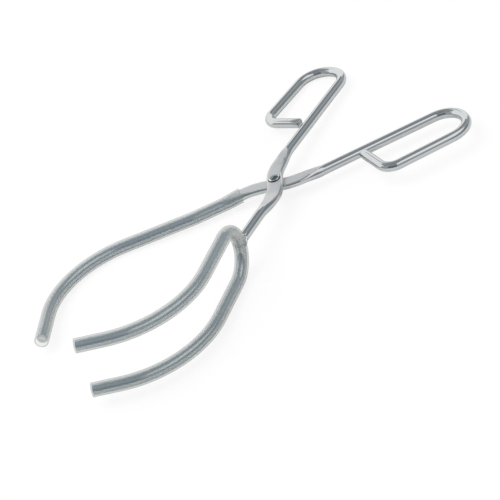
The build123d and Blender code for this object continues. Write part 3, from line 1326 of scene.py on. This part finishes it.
@dataclass(frozen=True)
class GreyWall:
    """A stretch of grey wall or ceiling that only polished metal and clear plastic see.

    Directions are in degrees: turns go anticlockwise from +X and tilts go up from the bench.
    """

    name: str
    turns: tuple[float, float]
    tilts: tuple[float, float]
    tone: str
    columns: int = 24
    rows: int = 6

    def hang(self, distance: float) -> Object:
        """Hangs the wall at a distance from the middle of the bench.

        Args:
            distance: how far away it is.

        Returns:
            The wall's object.
        """
        built = bmesh.new()
        rows = []
        for across in range(self.columns + 1):
            turn = math.radians(mix(*self.turns, across / self.columns))
            row = []
            for up in range(self.rows + 1):
                tilt = math.radians(mix(*self.tilts, up / self.rows))
                flat = distance * math.cos(tilt)
                place = (flat * math.cos(turn), flat * math.sin(turn), distance * math.sin(tilt))
                row.append(built.verts.new(place))
            rows.append(row)
        for near, far in zip(rows, rows[1:]):
            for low in range(len(near) - 1):
                built.faces.new((near[low], far[low], far[low + 1], near[low + 1]))
        mesh = bpy.data.meshes.new(self.name)
        built.to_mesh(mesh)
        built.free()
        wall = add_object(self.name, mesh)
        # The wall glows with its set grey instead of being lit, so metal and plastic reflect that
        # grey as given.
        material, tree = blank_material(self.name + "_reflection_glow")
        coat = add_node(tree, "ShaderNodeEmission", {"Color": linear(self.tone)})
        add_node(tree, "ShaderNodeOutputMaterial", {"Surface": coat})
        paint(wall, material)
        wall.visible_camera = False
        wall.visible_diffuse = False
        wall.visible_shadow = False
        return wall


@dataclass
class Studio:
    """The bench, the light and the camera."""

    camera_azimuth: float = -27.527
    camera_elevation: float = 38.731
    camera_roll: float = -21.146
    camera_distance: float = 1.15491
    camera_aim: tuple[float, float, float] = (-0.00599, -0.01869, 0.0)
    focal_length_mm: float = 145.3
    sensor_width_mm: float = 36.0
    sight_limit: float = 50.0
    bench_width: float = 12.0
    bench_tone: str = "#f4f4f3"
    bench_shadow_share: float = 0.22
    background: float = 1.06
    ambient: float = 0.6
    lamp_width: float = 1.1
    lamp_power: float = 8.0
    lamp_place: tuple[float, float, float] = (-0.5, 0.25, 1.35)
    fill_power: float = 3.0
    fill_place: tuple[float, float, float] = (1.2, -0.9, 0.8)
    wall_distance: float = 2.4
    walls: tuple[GreyWall, ...] = (
        GreyWall("left_wall", (190, 243), (0, 46), "#6f777e"),
        GreyWall("front_left_wall", (243, 270), (0, 40), "#a7adb1"),
        GreyWall("front_wall", (270, 345), (0, 34), "#8d959b"),
        GreyWall("right_wall", (345, 385), (0, 46), "#a9aeb2"),
        GreyWall("far_left_wall", (148, 190), (0, 46), "#aeb2b5"),
        GreyWall("back_right_wall", (25, 66), (27, 46), "#8b9195"),
        GreyWall("cove", (-12, 250), (46, 72), "#9da2a6"),
        GreyWall("ceiling", (0, 360), (72, 89), "#8a9095"),
    )

    def light_world(self) -> None:
        """Makes the even light all round, and the white that the camera and reflections see."""
        world = bpy.data.worlds.new("studio_world")
        world.use_nodes = True
        tree = world.node_tree
        tree.nodes.clear()
        path = add_node(tree, "ShaderNodeLightPath").outputs
        shows: Node | float = 0.0
        for ray in ("Is Camera Ray", "Is Glossy Ray", "Is Transmission Ray"):
            feeds = {0: shows, 1: path[ray]}
            shows = add_node(tree, "ShaderNodeMath", feeds, operation="MAXIMUM")
        light, white = (
            add_node(tree, "ShaderNodeBackground", {"Color": WHITE, "Strength": strength})
            for strength in (self.ambient, self.background)
        )
        mixed = add_node(tree, "ShaderNodeMixShader", {0: shows, 1: light, 2: white})
        add_node(tree, "ShaderNodeOutputWorld", {"Surface": mixed})
        bpy.context.scene.world = world

    def lay_bench(self) -> Object:
        """Lays the pale bench, which renders white and keeps the tongs' shadow.

        Returns:
            The bench's object.
        """
        half = self.bench_width / 2
        mesh = bpy.data.meshes.new("bench")
        corners = [(-half, -half, 0), (half, -half, 0), (half, half, 0), (-half, half, 0)]
        mesh.from_pydata(corners, [], [(0, 1, 2, 3)])
        bench = add_object("bench", mesh)
        material, tree = blank_material("bench_matt_pale")
        pale = add_node(tree, "ShaderNodeBsdfDiffuse", {"Color": linear(self.bench_tone)})
        feeds = {"Color": WHITE, "Strength": self.background}
        white = add_node(tree, "ShaderNodeEmission", feeds)
        seen = add_node(tree, "ShaderNodeLightPath").outputs["Is Camera Ray"]
        feeds = {0: seen, 1: 1 - self.bench_shadow_share}
        share = add_node(tree, "ShaderNodeMath", feeds, operation="MULTIPLY")
        mixed = add_node(tree, "ShaderNodeMixShader", {0: share, 1: pale, 2: white})
        add_node(tree, "ShaderNodeOutputMaterial", {"Surface": mixed})
        paint(bench, material)
        return bench

    def hang_lamp(self, name: str, place: tuple[float, float, float], power: float) -> None:
        """Hangs one soft square lamp that faces the middle of the bench.

        Args:
            name: the lamp's name.
            place: where it hangs.
            power: its power in watts.
        """
        lamp = bpy.data.lights.new(name, "AREA")
        lamp.shape = "SQUARE"
        lamp.size = self.lamp_width
        lamp.energy = power
        thing = add_object(name, lamp)
        thing.location = place
        thing.visible_glossy = False
        thing.rotation_mode = "QUATERNION"
        thing.rotation_quaternion = Vector(place).to_track_quat("Z", "Y")

    def set_camera(self) -> None:
        """Sets the camera at the photograph's viewing angle."""
        turn, tilt = math.radians(self.camera_azimuth), math.radians(self.camera_elevation)
        back = Vector(
            (math.sin(turn) * math.cos(tilt), -math.cos(turn) * math.cos(tilt), math.sin(tilt))
        )
        level = Vector((0, 0, 1)).cross(back).normalized()
        above = back.cross(level)
        roll = math.radians(self.camera_roll)
        right = level * math.cos(roll) + above * math.sin(roll)
        up = back.cross(right)
        camera = add_object("camera", bpy.data.cameras.new("camera"))
        camera.data.lens = self.focal_length_mm
        camera.data.sensor_width = self.sensor_width_mm
        camera.data.clip_end = self.sight_limit
        place = Vector(self.camera_aim) + back * self.camera_distance
        turned = Matrix((right, up, back)).transposed().to_4x4()
        camera.matrix_world = Matrix.Translation(place) @ turned
        bpy.context.scene.camera = camera

    def build(self) -> None:
        """Builds the bench, the light and the camera."""
        bpy.context.scene.view_settings.view_transform = "Standard"
        self.light_world()
        self.lay_bench()
        self.hang_lamp("overhead_softbox", self.lamp_place, self.lamp_power)
        self.hang_lamp("side_softbox", self.fill_place, self.fill_power)
        for wall in self.walls:
            wall.hang(self.wall_distance)
        self.set_camera()


def main() -> None:
    """Dresses the tongs and sets up the studio."""
    logging.basicConfig(level=logging.INFO, format="%(name)s: %(message)s")
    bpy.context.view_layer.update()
    drawing = Drawing()
    for part in (Arms(drawing), Fork(drawing), Rivet(), Sleeves(drawing)):
        for piece in part.dress():
            log.info("%s: %s finished", type(part).__name__, piece.name)
    Studio().build()


if __name__ == "__main__":
    main()
